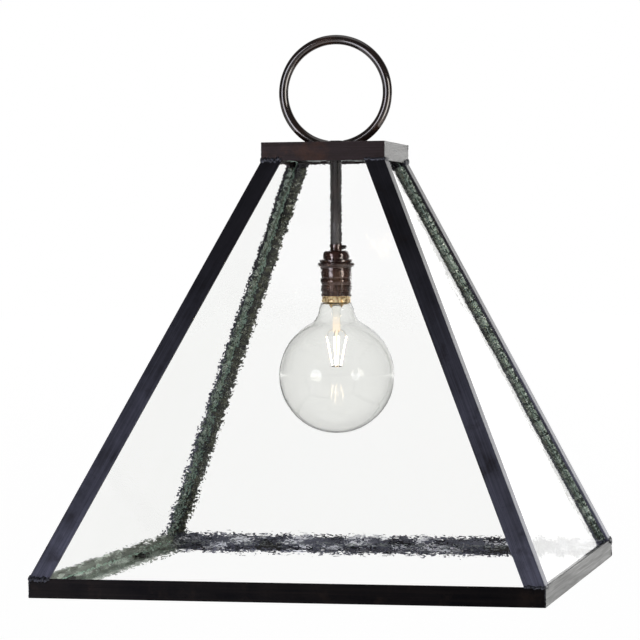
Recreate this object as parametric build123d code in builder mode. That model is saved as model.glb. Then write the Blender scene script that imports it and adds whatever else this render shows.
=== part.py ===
from build123d import *
import os
from math import hypot, radians, sin, sqrt

# Pendant lantern: a welded angle-steel pyramid frame, four sloping glass panes,
# a round hanging ring on a square cap, and a lampholder with a globe lamp on a stem.
# Millimetres, +Z up, origin at the middle of the square base, on its lower face.

# Sizes of the welded frame.
base_side = 530.0
cap_side = 134.0
frame_height = 468.0
angle_flange = 20.0
angle_wall = 3.0
cap_height = 20.0
plate_wall = 3.0

# Sizes of the glazing: panes, bedding strips and setting blocks.
glass_wall = 4.0
bedding_wall = 4.0
bedding_width = 9.5
pane_edge_gap = 10.0
pane_top_cover = 4.0
pane_seat_gap = 0.3
block_length = 25.0
block_width = 6.0
block_spacing = 280.0

# Sizes of the hanging ring and of the stem that carries the lampholder.
ring_outer_diameter = 125.0
ring_bar_diameter = 10.4
ring_foot_sink = 7.3
ring_nut_gap = 2.4
pipe_diameter = 9.9
pipe_bore_diameter = 7.0
sleeve_diameter = 12.5
sleeve_length = 105.5
nut_across_flats = 14.0
nut_height = 3.4
fit_gap = 0.1

# Sizes of the lampholder.
hub_diameter = 13.4
hub_height = 7.5
dome_diameter = 28.4
dome_height = 9.0
dome_rounding = 3.4
holder_wall = 0.8
collar_diameter = 39.2
collar_height = 9.6
collar_upper_diameter = 35.8
collar_groove_depth = 0.6
skirt_diameter = 32.9
skirt_height = 30.4
groove_depth = 0.5
groove_width = 1.1
upper_groove_drop = 11.0
lower_groove_drop = 18.7
liner_wall = 1.6
liner_floor = 6.0
screw_shell_wall = 0.5
screw_shell_height = 19.5
spring_contact_diameter = 9.0
spring_contact_height = 1.5
set_screw_diameter = 4.6
set_screw_reach = 11.0
set_screw_shank_diameter = 2.9

# Sizes of the globe lamp.
globe_diameter = 125.0
globe_wall = 1.0
neck_diameter = 39.4
neck_top_diameter = 29.6
neck_length = 12.4
neck_shoulder = 3.4
neck_blend_radius = 10.6
cap_skirt_diameter = 30.8
cap_skirt_height = 6.2
cap_skirt_wall = 0.4
cap_screw_diameter = 26.2
cap_screw_height = 18.0
lamp_insulator_height = 3.8
lamp_contact_diameter = 9.4
lamp_contact_height = 1.7
lamp_gap = 0.3
filament_length = 31.6
filament_diameter = 1.9
filament_count = 4
filament_top_spread = 11.0
filament_foot_spread = 4.6
filament_drop = 37.0
wire_diameter = 0.8
mount_stem_diameter = 8.4
mount_flare_diameter = 27.0
mount_post_diameter = 3.0

# Places that follow from the sizes.
half_base = base_side / 2
half_cap = cap_side / 2
cap_bottom = frame_height - cap_height
rise = cap_bottom - angle_flange
run = half_base - half_cap
slant = hypot(run, rise)
lean_sin = run / slant
lean_cos = rise / slant
edge_length = hypot(run, slant)
edge_stretch = edge_length / slant

plate_bottom = frame_height - plate_wall
hub_top = plate_bottom - sleeve_length
dome_top = hub_top - hub_height
dome_bottom = dome_top - dome_height
collar_bottom = dome_bottom - collar_height
skirt_bottom = collar_bottom - skirt_height
skirt_inner = skirt_diameter / 2 - holder_wall
liner_outer = skirt_inner - fit_gap / 2
liner_inner = liner_outer - liner_wall
screw_shell_outer = liner_inner - fit_gap / 2
screw_shell_inner = screw_shell_outer - screw_shell_wall

lamp_top = skirt_bottom - lamp_gap
cap_skirt_bottom = lamp_top - cap_skirt_height
screw_top = lamp_top + cap_screw_height
insulator_top = screw_top + lamp_insulator_height
contact_top = insulator_top + lamp_contact_height
spring_bottom = contact_top + lamp_gap
liner_top = spring_bottom + spring_contact_height + liner_floor

faces = {"front": 0, "right": 90, "back": 180, "left": 270}
corners = {"front_left": 0, "front_right": 90, "back_right": 180, "back_left": 270}

os.makedirs("parts", exist_ok=True)


def save(piece, name):
    """Labels a finished piece and writes it as its own file."""
    piece.label = name
    export_step(piece, f"parts/{name}.step")


def turned(piece, degrees):
    """A copy of the piece, turned about the upright axis of the lantern."""
    return Rot(0, 0, degrees) * piece


def face_plane(degrees, inset):
    """The plane of one sloping face, moved inwards by inset; X along the base, Y up the slope."""
    front = Plane(
        origin=(0, -half_base, angle_flange),
        x_dir=(1, 0, 0),
        z_dir=(0, -lean_cos, lean_sin),
    )
    return Plane(Rot(0, 0, degrees) * front.offset(-inset).location)


def half_width(up):
    """Half the width of a sloping face at a distance up the slope."""
    return half_base - up * run / slant


# Base rails: angle bars with mitred corners, one flange standing, one lying inwards.
with BuildPart() as rail:
    with BuildSketch(Plane.YZ):
        with BuildLine():
            Polyline(
                (-half_base, 0),
                (-half_base + angle_flange, 0),
                (-half_base + angle_flange, angle_wall),
                (-half_base + angle_wall, angle_wall),
                (-half_base + angle_wall, angle_flange),
                (-half_base, angle_flange),
                close=True,
            )
        make_face()
    extrude(amount=half_base, both=True)
    split(bisect_by=Plane(origin=(0, 0, 0), z_dir=(1, 1, 0)), keep=Keep.BOTTOM)
    split(bisect_by=Plane(origin=(0, 0, 0), z_dir=(-1, 1, 0)), keep=Keep.BOTTOM)

for side, degrees in faces.items():
    save(turned(rail.part, degrees), f"base_rail_{side}")

# Corner legs: two flanges, each lying in a sloping face, cut level at the base and under the cap.
leg_overrun = 2 * angle_flange
leg_strip = angle_flange * edge_stretch

with BuildPart() as leg:
    for degrees, edge in ((0, -1), (-90, 1)):
        with BuildSketch(face_plane(degrees, 0)):
            with BuildLine():
                Polyline(
                    (edge * half_width(-leg_overrun), -leg_overrun),
                    (edge * half_width(slant + leg_overrun), slant + leg_overrun),
                    (edge * (half_width(slant + leg_overrun) - leg_strip), slant + leg_overrun),
                    (edge * (half_width(-leg_overrun) - leg_strip), -leg_overrun),
                    close=True,
                )
            make_face()
        extrude(amount=-angle_wall)
    split(bisect_by=Plane.XY.offset(angle_flange), keep=Keep.TOP)
    split(bisect_by=Plane.XY.offset(cap_bottom), keep=Keep.BOTTOM)

for corner, degrees in corners.items():
    save(turned(leg.part, degrees), f"leg_{corner}")

# Cap: four mitred side bars around a flat plate with a hole for the stem.
with BuildPart() as cap_side_bar:
    with BuildSketch(Plane.YZ):
        with Locations((-half_cap + angle_wall / 2, cap_bottom + cap_height / 2)):
            Rectangle(angle_wall, cap_height)
    extrude(amount=half_cap, both=True)
    split(bisect_by=Plane(origin=(0, 0, 0), z_dir=(1, 1, 0)), keep=Keep.BOTTOM)
    split(bisect_by=Plane(origin=(0, 0, 0), z_dir=(-1, 1, 0)), keep=Keep.BOTTOM)

for side, degrees in faces.items():
    save(turned(cap_side_bar.part, degrees), f"cap_side_{side}")

with BuildPart() as cap_plate:
    with BuildSketch(Plane.XY.offset(plate_bottom)):
        Rectangle(cap_side - 2 * angle_wall, cap_side - 2 * angle_wall)
        Circle(pipe_diameter / 2 + fit_gap, mode=Mode.SUBTRACT)
    extrude(amount=plate_wall)
save(cap_plate.part, "cap_plate")

# Hanging ring: a round bar whose two ends stand on the cap, either side of the lock nut.
ring_radius = (ring_outer_diameter - ring_bar_diameter) / 2
ring_centre = frame_height - ring_foot_sink + ring_outer_diameter / 2

with BuildPart() as hanging_ring:
    with BuildSketch(Plane.XY.offset(ring_centre)):
        with Locations((ring_radius, 0)):
            Circle(ring_bar_diameter / 2)
    revolve(axis=Axis((0, 0, ring_centre), (0, 1, 0)))
    split(bisect_by=Plane.XY.offset(frame_height), keep=Keep.TOP)
    with BuildSketch(Plane.XY.offset(frame_height)):
        Circle(nut_across_flats / 2 + ring_nut_gap)
    extrude(amount=ring_bar_diameter, mode=Mode.SUBTRACT)
save(hanging_ring.part, "hanging_ring")

# Stem: a threaded pipe for the wire, a sleeve over it and a lock nut on the cap.
pipe_top = frame_height + nut_height
pipe_bottom = dome_top - 2 * holder_wall

with BuildPart() as pipe:
    with BuildSketch(Plane.XY.offset(pipe_bottom)):
        Circle(pipe_diameter / 2)
        Circle(pipe_bore_diameter / 2, mode=Mode.SUBTRACT)
    extrude(amount=pipe_top - pipe_bottom)
    chamfer(pipe.edges().group_by(Axis.Z)[-1].sort_by(SortBy.RADIUS)[-1], length=0.5)
save(pipe.part, "stem_pipe")

with BuildPart() as sleeve:
    with BuildSketch(Plane.XY.offset(hub_top)):
        Circle(sleeve_diameter / 2)
        Circle(pipe_diameter / 2 + fit_gap, mode=Mode.SUBTRACT)
    extrude(amount=sleeve_length)
save(sleeve.part, "stem_sleeve")

with BuildPart() as lock_nut:
    with BuildSketch(Plane.XY.offset(frame_height)):
        RegularPolygon(radius=nut_across_flats / 2, side_count=6, major_radius=False)
        Circle(pipe_diameter / 2 + fit_gap / 2, mode=Mode.SUBTRACT)
    extrude(amount=nut_height)
save(lock_nut.part, "stem_lock_nut")

# Glass panes, the bedding strips behind the legs and the setting blocks on the base rails.
pane_outer = angle_wall + bedding_wall
pane_foot = (angle_wall + pane_seat_gap - lean_cos * pane_outer) / lean_sin
pane_head = (cap_bottom + pane_top_cover - angle_flange + lean_sin * pane_outer) / lean_cos
pane_side = pane_edge_gap * edge_stretch

with BuildPart() as pane:
    with BuildSketch(face_plane(0, pane_outer)):
        with BuildLine():
            Polyline(
                (-half_width(pane_foot) + pane_side, pane_foot),
                (half_width(pane_foot) - pane_side, pane_foot),
                (half_width(pane_head) - pane_side, pane_head),
                (-half_width(pane_head) + pane_side, pane_head),
                close=True,
            )
        make_face()
    extrude(amount=-glass_wall)

bedding_foot = (lean_sin * pane_outer + 1) / lean_cos
bedding_head = slant - 2
bedding_side = bedding_width * edge_stretch

for edge, hand in ((-1, "left"), (1, "right")):
    with BuildPart() as bedding:
        with BuildSketch(face_plane(0, angle_wall)):
            with BuildLine():
                Polyline(
                    (edge * (half_width(bedding_foot) - pane_side), bedding_foot),
                    (edge * (half_width(bedding_head) - pane_side), bedding_head),
                    (edge * (half_width(bedding_head) - pane_side - bedding_side), bedding_head),
                    (edge * (half_width(bedding_foot) - pane_side - bedding_side), bedding_foot),
                    close=True,
                )
            make_face()
        extrude(amount=-bedding_wall)
    for side, degrees in faces.items():
        save(turned(bedding.part, degrees), f"bedding_strip_{side}_{hand}")

pane_lowest = angle_flange + lean_cos * pane_foot - lean_sin * (pane_outer + glass_wall)
block_height = pane_lowest - pane_seat_gap / 2 - angle_wall

for edge, hand in ((-1, "left"), (1, "right")):
    with BuildPart() as block:
        with BuildSketch(Plane.XY.offset(angle_wall)):
            with Locations((edge * block_spacing / 2, -half_base + angle_wall + block_width / 2)):
                Rectangle(block_length, block_width)
        extrude(amount=block_height)
    for side, degrees in faces.items():
        save(turned(block.part, degrees), f"setting_block_{side}_{hand}")

for side, degrees in faces.items():
    save(turned(pane.part, degrees), f"glass_pane_{side}")

# Lampholder: bell cap with its hub, collar, skirt, liner, screw shell, contact and set screw.
with BuildPart() as holder_cap:
    with BuildSketch(Plane.XZ):
        with BuildLine():
            Polyline(
                (pipe_diameter / 2 + fit_gap / 2, hub_top),
                (hub_diameter / 2, hub_top),
                (hub_diameter / 2, dome_top),
                (dome_diameter / 2, dome_top),
                (dome_diameter / 2, dome_bottom),
                (dome_diameter / 2 - holder_wall, dome_bottom),
                (dome_diameter / 2 - holder_wall, dome_top - holder_wall),
                (pipe_diameter / 2 + fit_gap / 2, dome_top - holder_wall),
                close=True,
            )
        make_face()
    revolve(axis=Axis.Z)
    shoulder = holder_cap.edges().filter_by(GeomType.CIRCLE).filter_by_position(
        Axis.Z, dome_top - 0.01, dome_top + 0.01
    )
    fillet(shoulder.sort_by(SortBy.RADIUS)[-1], radius=dome_rounding)
    inner_shoulder = holder_cap.edges().filter_by(GeomType.CIRCLE).filter_by_position(
        Axis.Z, dome_top - holder_wall - 0.01, dome_top - holder_wall + 0.01
    )
    chamfer(inner_shoulder.sort_by(SortBy.RADIUS)[-1], length=dome_rounding - holder_wall)
    with BuildSketch(Plane.YZ):
        with Locations((0, hub_top - hub_height / 2)):
            Circle(set_screw_shank_diameter / 2 + fit_gap / 2)
    extrude(amount=hub_diameter, mode=Mode.SUBTRACT)
save(holder_cap.part, "holder_cap")

with BuildPart() as collar:
    with BuildSketch(Plane.XZ):
        with BuildLine():
            Polyline(
                (dome_diameter / 2 - holder_wall, dome_bottom),
                (dome_diameter / 2 + 1.4, dome_bottom),
                (collar_upper_diameter / 2, dome_bottom - 0.1 * collar_height),
                (collar_upper_diameter / 2, dome_bottom - 0.3 * collar_height),
                (collar_upper_diameter / 2 - collar_groove_depth, dome_bottom - 0.36 * collar_height),
                (collar_diameter / 2 - 0.3, dome_bottom - 0.42 * collar_height),
                (collar_diameter / 2, dome_bottom - 0.48 * collar_height),
                (collar_diameter / 2, dome_bottom - 0.72 * collar_height),
                (collar_upper_diameter / 2, dome_bottom - 0.86 * collar_height),
                (collar_upper_diameter / 2 - 0.8, collar_bottom),
                (skirt_inner, collar_bottom),
                (skirt_inner, dome_bottom - holder_wall),
                (dome_diameter / 2 - holder_wall, dome_bottom - holder_wall),
                close=True,
            )
        make_face()
    revolve(axis=Axis.Z)
save(collar.part, "holder_collar")

with BuildPart() as skirt:
    with BuildSketch(Plane.XZ):
        with Locations((skirt_inner + holder_wall / 2, skirt_bottom + skirt_height / 2)):
            Rectangle(holder_wall, skirt_height)
        with Locations(
            (skirt_diameter / 2, collar_bottom - upper_groove_drop),
            (skirt_diameter / 2, collar_bottom - lower_groove_drop),
        ):
            Rectangle(2 * groove_depth, groove_width, mode=Mode.SUBTRACT)
    revolve(axis=Axis.Z)
save(skirt.part, "holder_skirt")

with BuildPart() as liner:
    with BuildSketch(Plane.XZ):
        with BuildLine():
            Polyline(
                (0, liner_top),
                (liner_outer, liner_top),
                (liner_outer, skirt_bottom + 0.5),
                (liner_inner, skirt_bottom + 0.5),
                (liner_inner, liner_top - liner_floor),
                (0, liner_top - liner_floor),
                close=True,
            )
        make_face()
    revolve(axis=Axis.Z)
save(liner.part, "holder_liner")

with BuildPart() as screw_shell:
    with BuildSketch(Plane.XY.offset(skirt_bottom + 1.0)):
        Circle(screw_shell_outer)
        Circle(screw_shell_inner, mode=Mode.SUBTRACT)
    extrude(amount=screw_shell_height)
save(screw_shell.part, "holder_screw_shell")

with BuildPart() as spring_contact:
    with BuildSketch(Plane.XY.offset(spring_bottom)):
        Circle(spring_contact_diameter / 2)
    extrude(amount=spring_contact_height)
save(spring_contact.part, "holder_contact")

with BuildPart() as set_screw:
    with BuildSketch(Plane.YZ.offset(pipe_diameter / 2 + fit_gap)):
        with Locations((0, hub_top - hub_height / 2)):
            Circle(set_screw_shank_diameter / 2)
    extrude(amount=(hub_diameter - pipe_diameter) / 2)
    with BuildSketch(Plane.YZ.offset(hub_diameter / 2 + fit_gap)):
        with Locations((0, hub_top - hub_height / 2)):
            Circle(set_screw_diameter / 2)
    extrude(amount=set_screw_reach - hub_diameter / 2 - fit_gap)
    chamfer(set_screw.edges().group_by(Axis.X)[-1], length=0.6)
save(set_screw.part, "holder_set_screw")

# Lamp envelope: one blown glass, globe, neck and mouth.
globe_radius = globe_diameter / 2
neck_bottom = cap_skirt_bottom - neck_length
blend_reach = sqrt((globe_radius + neck_blend_radius) ** 2 - (neck_diameter / 2 + neck_blend_radius) ** 2)
globe_centre = neck_bottom - blend_reach


def envelope(inset):
    """The closed half outline of the lamp glass, drawn inwards by inset."""
    globe = globe_radius - inset
    neck = neck_diameter / 2 - inset
    mouth = neck_top_diameter / 2 - inset
    mouth_top = cap_skirt_bottom + cap_skirt_height - 2 * lamp_gap
    share = globe / (globe_radius + neck_blend_radius)
    blend_point = (share * (neck_diameter / 2 + neck_blend_radius), globe_centre + share * blend_reach)
    shoulder_foot = cap_skirt_bottom - neck_shoulder - inset / 2
    shoulder_top = cap_skirt_bottom - lamp_gap - inset
    halfway = sin(radians(45))
    with BuildLine() as outline:
        Line((0, mouth_top), (0, globe_centre - globe))
        ThreePointArc((0, globe_centre - globe), (globe, globe_centre), blend_point)
        RadiusArc(blend_point, (neck, neck_bottom), -(neck_blend_radius + inset))
        Line((neck, neck_bottom), (neck, shoulder_foot))
        ThreePointArc(
            (neck, shoulder_foot),
            (
                mouth + (neck - mouth) * halfway,
                shoulder_foot + (shoulder_top - shoulder_foot) * halfway,
            ),
            (mouth, shoulder_top),
        )
        Polyline((mouth, shoulder_top), (mouth, mouth_top), (0, mouth_top))
    return outline.line


with BuildPart() as lamp_glass:
    with BuildSketch(Plane.XZ):
        add(envelope(0))
        make_face()
    revolve(axis=Axis.Z)
    with BuildSketch(Plane.XZ):
        add(envelope(globe_wall))
        make_face()
    revolve(axis=Axis.Z, mode=Mode.SUBTRACT)
save(lamp_glass.part, "lamp_globe")

# Lamp cap and contacts.
with BuildPart() as lamp_cap:
    with BuildSketch(Plane.XZ):
        with BuildLine():
            Polyline(
                (cap_screw_diameter / 2 - 1.0, screw_top),
                (cap_screw_diameter / 2, screw_top - 1.0),
                (cap_screw_diameter / 2, lamp_top),
                (cap_skirt_diameter / 2 - 0.6, lamp_top),
                (cap_skirt_diameter / 2, lamp_top - 0.6),
                (cap_skirt_diameter / 2, cap_skirt_bottom),
                (cap_skirt_diameter / 2 - cap_skirt_wall, cap_skirt_bottom),
                (cap_skirt_diameter / 2 - cap_skirt_wall, lamp_top - cap_skirt_wall),
                (cap_screw_diameter / 2 - cap_skirt_wall, lamp_top - cap_skirt_wall),
                (cap_screw_diameter / 2 - cap_skirt_wall, screw_top - 1.0),
                (cap_screw_diameter / 2 - 1.0 - cap_skirt_wall, screw_top - cap_skirt_wall),
                (cap_screw_diameter / 2 - 1.0 - cap_skirt_wall, screw_top),
                close=True,
            )
        make_face()
    revolve(axis=Axis.Z)
save(lamp_cap.part, "lamp_cap")

with BuildPart() as lamp_insulator:
    with BuildSketch(Plane.XZ):
        with BuildLine():
            Polyline(
                (0, screw_top),
                (cap_screw_diameter / 2 - 1.0, screw_top),
                (lamp_contact_diameter / 2 + 1.2, insulator_top),
                (0, insulator_top),
                close=True,
            )
        make_face()
    revolve(axis=Axis.Z)
save(lamp_insulator.part, "lamp_insulator")

with BuildPart() as lamp_contact:
    with BuildSketch(Plane.XY.offset(insulator_top)):
        Circle(lamp_contact_diameter / 2)
    extrude(amount=lamp_contact_height)
    fillet(lamp_contact.edges().group_by(Axis.Z)[-1], radius=0.8 * lamp_contact_height)
save(lamp_contact.part, "lamp_contact")

# Glass mount and filaments.
filament_top = cap_skirt_bottom - filament_drop
filament_lean = sqrt(filament_length**2 - (filament_top_spread - filament_foot_spread) ** 2)
filament_foot = filament_top - filament_lean
mount_top = cap_skirt_bottom + cap_skirt_height - 3 * lamp_gap - globe_wall
mount_tip = filament_top + 4.0

with BuildPart() as mount_stem:
    with BuildSketch(Plane.XZ):
        with BuildLine():
            Polyline(
                (0, mount_top),
                (mount_flare_diameter / 2, mount_top),
                (mount_flare_diameter / 2, mount_top - 1.2),
                (mount_stem_diameter / 2, cap_skirt_bottom - 8.0),
                (mount_stem_diameter / 2, mount_tip + 2.0),
                (mount_post_diameter / 2, mount_tip),
                (mount_post_diameter / 2, filament_foot - 2.0),
                (0, filament_foot - 2.0),
                close=True,
            )
        make_face()
    revolve(axis=Axis.Z)
save(mount_stem.part, "lamp_mount_stem")


def between(start, end):
    """A plane at start whose normal points at end."""
    return Plane(origin=start, z_dir=Vector(*end) - Vector(*start))


filament_top_point = (filament_top_spread, 0, filament_top)
filament_foot_point = (filament_foot_spread, 0, filament_foot)

with BuildPart() as filament:
    with BuildSketch(between(filament_top_point, filament_foot_point)):
        Circle(filament_diameter / 2)
    extrude(amount=filament_length)

for number in range(filament_count):
    save(turned(filament.part, 360 / filament_count * number), f"lamp_filament_{number + 1}")

lead_ring_radius = mount_stem_diameter / 2 + fit_gap / 2
lead_ring_height = 1.5
lead_ring_foot = mount_tip + 3.0
lead_start = (lead_ring_radius + wire_diameter / 2, 0, lead_ring_foot + lead_ring_height / 2)
lead_end = (filament_top_spread, 0, filament_top + filament_diameter / 2)

with BuildPart() as lead_wires:
    with BuildSketch(Plane.XY.offset(lead_ring_foot)):
        Circle(lead_ring_radius + wire_diameter)
        Circle(lead_ring_radius, mode=Mode.SUBTRACT)
    extrude(amount=lead_ring_height)
    for number in range(filament_count):
        around = Rot(0, 0, 360 / filament_count * number)
        with BuildSketch(Plane(around * between(lead_start, lead_end).location)):
            Circle(wire_diameter / 2)
        extrude(amount=(Vector(*lead_end) - Vector(*lead_start)).length)
save(lead_wires.part, "lamp_lead_wires")

foot_ring_radius = mount_post_diameter / 2 + fit_gap / 2

with BuildPart() as foot_ring:
    with BuildSketch(Plane.XY.offset(filament_foot - filament_diameter)):
        Circle(filament_foot_spread + filament_diameter / 2)
        Circle(foot_ring_radius, mode=Mode.SUBTRACT)
    extrude(amount=filament_diameter / 2)
save(foot_ring.part, "lamp_filament_hub")
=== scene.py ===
import bmesh
import bpy
import math
import random
from mathutils import Matrix, Vector, noise

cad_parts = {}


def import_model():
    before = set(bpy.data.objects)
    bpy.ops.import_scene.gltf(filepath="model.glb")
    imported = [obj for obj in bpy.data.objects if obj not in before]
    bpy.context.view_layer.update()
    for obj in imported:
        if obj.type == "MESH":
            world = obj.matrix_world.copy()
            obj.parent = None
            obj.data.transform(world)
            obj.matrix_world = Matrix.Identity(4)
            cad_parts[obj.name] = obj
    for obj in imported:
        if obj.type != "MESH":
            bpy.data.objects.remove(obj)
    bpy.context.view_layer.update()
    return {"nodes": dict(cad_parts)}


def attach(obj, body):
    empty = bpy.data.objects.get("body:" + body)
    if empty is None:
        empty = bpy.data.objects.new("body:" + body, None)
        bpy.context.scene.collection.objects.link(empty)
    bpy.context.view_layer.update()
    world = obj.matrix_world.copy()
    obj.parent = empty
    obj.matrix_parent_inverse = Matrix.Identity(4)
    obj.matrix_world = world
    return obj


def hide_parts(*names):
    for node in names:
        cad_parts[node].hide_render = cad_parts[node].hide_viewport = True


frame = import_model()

nodes = frame["nodes"]
scene = bpy.context.scene
scene.view_settings.view_transform = "Standard"

# Sizes of the lantern, in metres, as in the solids.
BASE = 0.530
CAP = 0.134
HEIGHT = 0.468
FLANGE = 0.020
WALL = 0.003
CAP_HEIGHT = 0.020
BEDDING_WALL = 0.004
BEDDING_WIDTHS = {"front": 0.0080, "right": 0.0095, "back": 0.0098, "left": 0.0095}
BACK_BEDDING_GAP = 0.0115
PANE_OUTER = WALL + BEDDING_WALL
GLASS = 0.004
PANE_SIDE_GAP = 0.010
PANE_TOP_COVER = 0.004
PANE_SEAT_GAP = 0.0003
RING_OUTER = 0.1250
RING_BAR = 0.0104
RING_SINK = 0.0073
NUT_FLATS = 0.014
RING_NUT_GAP = 0.0024
STEM_TOP = 0.465
HUB_TOP = 0.3595
DOME_TOP = 0.352
DOME_BOTTOM = 0.343
COLLAR_BOTTOM = 0.3334
SKIRT_BOTTOM = 0.303
LAMP_TOP = 0.3027
CAP_SKIRT_BOTTOM = 0.2965
HUB_BORE = 0.0050
BELL_BORE = 0.0134
SLEEVE_BORE = 0.00505
SLEEVE_OUTER = 0.00625
SKIRT_BORE = 0.01565
SKIRT_OUTER = 0.01645

CAP_BOTTOM = HEIGHT - CAP_HEIGHT
RISE = CAP_BOTTOM - FLANGE
RUN = BASE / 2 - CAP / 2
SLANT = math.hypot(RUN, RISE)
LEAN_SIN = RUN / SLANT
LEAN_COS = RISE / SLANT
EDGE_STRETCH = math.hypot(RUN, SLANT) / SLANT
FACES = {"front": 0, "right": 90, "back": 180, "left": 270}
CORNERS = ("front_left", "front_right", "back_right", "back_left")


# Meshes.
def add_piece(name, mesh, body):
    """A mesh as a piece of the lantern, riding on a body."""
    piece = bpy.data.objects.new(name, mesh)
    scene.collection.objects.link(piece)
    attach(piece, body)
    return piece


def make_object(name, verts, faces, materials, body, sharp, face_slots=None):
    """A smooth piece from vertices and faces. Its edges are sharp past an angle in degrees."""
    mesh = bpy.data.meshes.new(name)
    mesh.from_pydata([tuple(v) for v in verts], [], faces)
    mesh.update()
    for material in materials:
        mesh.materials.append(material)
    if face_slots:
        mesh.polygons.foreach_set("material_index", face_slots)
    mesh.shade_smooth()
    mesh.set_sharp_from_angle(angle=math.radians(sharp))
    return add_piece(name, mesh, body)


def tube_faces(rings, sides):
    """Faces round rings of vertices that follow one another, closed at both ends."""
    faces = []
    for i in range(rings - 1):
        for j in range(sides):
            k = (j + 1) % sides
            faces.append((i * sides + j, i * sides + k, (i + 1) * sides + k, (i + 1) * sides + j))
    faces.append(tuple(reversed(range(sides))))
    faces.append(tuple((rings - 1) * sides + j for j in range(sides)))
    return faces


def lathe(name, profile, segments, material, body, closed=True, wobble=None, sharp=35):
    """A turned piece about the Z axis. The profile lists (radius, height) points in order."""
    count = len(profile)
    bm = bmesh.new()
    made = []
    for s in range(segments):
        angle = 2 * math.pi * s / segments
        for r, z in profile:
            if wobble:
                r, z = wobble(r, z, angle)
            made.append(bm.verts.new((r * math.cos(angle), r * math.sin(angle), z)))
    for s in range(segments):
        here, there = s * count, (s + 1) % segments * count
        for i in range(count if closed else count - 1):
            j = (i + 1) % count
            bm.faces.new((made[here + i], made[there + i], made[there + j], made[here + j]))
    bmesh.ops.remove_doubles(bm, verts=bm.verts, dist=1e-7)
    bmesh.ops.dissolve_degenerate(bm, edges=bm.edges, dist=1e-8)
    bmesh.ops.recalc_face_normals(bm, faces=bm.faces)
    mesh = bpy.data.meshes.new(name)
    bm.to_mesh(mesh)
    bm.free()
    mesh.materials.append(material)
    mesh.shade_smooth()
    mesh.set_sharp_from_angle(angle=math.radians(sharp))
    return add_piece(name, mesh, body)


def arc(centre, radius, start, end, steps):
    """Points (radius, height) on an arc, angles in degrees from the outward direction."""
    points = []
    for i in range(steps + 1):
        a = math.radians(start + (end - start) * i / steps)
        points.append((centre[0] + radius * math.cos(a), centre[1] + radius * math.sin(a)))
    return points


def face_frame(degrees, inset):
    """The frame of one sloping face: X along the base, Y up the slope, Z outwards."""
    turn = Matrix.Rotation(math.radians(degrees), 4, "Z")
    across = Vector((1, 0, 0))
    up = Vector((0, LEAN_SIN, LEAN_COS))
    out = Vector((0, -LEAN_COS, LEAN_SIN))
    origin = Vector((0, -BASE / 2, FLANGE)) - inset * out
    place = Matrix((across, up, out)).transposed().to_4x4()
    place.translation = origin
    return turn @ place


def half_width(up):
    """Half the width of a sloping face at a distance up the slope."""
    return BASE / 2 - up * RUN / SLANT


# Node trees.
WHITE = (1.0, 1.0, 1.0, 1.0)


def feed(tree, value, socket):
    """Links a socket's value to another socket, or sets a plain value there."""
    if isinstance(value, bpy.types.NodeSocket):
        tree.links.new(value, socket)
    else:
        socket.default_value = value


def opaque(colour):
    """A colour with full alpha. A socket stays as it is."""
    return colour if isinstance(colour, bpy.types.NodeSocket) else (*colour, 1.0)


def shading(tree, kind, *inputs):
    """A shader node with its first inputs linked or set."""
    node = tree.nodes.new(kind)
    for index, value in enumerate(inputs):
        feed(tree, value, node.inputs[index])
    return node.outputs[0]


def calculate(tree, operation, first, second=0.5):
    """Maths on a number and a second number."""
    node = tree.nodes.new("ShaderNodeMath")
    node.operation = operation
    feed(tree, first, node.inputs[0])
    feed(tree, second, node.inputs[1])
    return node.outputs[0]


def combine(tree, operation, first, second=(0.0, 0.0, 0.0)):
    """Vector maths. A distance or a dot product comes out as a number."""
    node = tree.nodes.new("ShaderNodeVectorMath")
    node.operation = operation
    feed(tree, first, node.inputs[0])
    feed(tree, second, node.inputs[1])
    return node.outputs["Value" if operation in ("DISTANCE", "DOT_PRODUCT") else "Vector"]


def ranged(tree, value, limits, smooth=False):
    """A value carried from one range to another, and held at its ends."""
    node = tree.nodes.new("ShaderNodeMapRange")
    if smooth:
        node.interpolation_type = "SMOOTHSTEP"
    for index, limit in enumerate((value, *limits)):
        feed(tree, limit, node.inputs[index])
    return node.outputs[0]


def axes(tree, vector):
    """The X, Y and Z of a vector."""
    node = tree.nodes.new("ShaderNodeSeparateXYZ")
    tree.links.new(vector, node.inputs[0])
    return node.outputs


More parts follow.
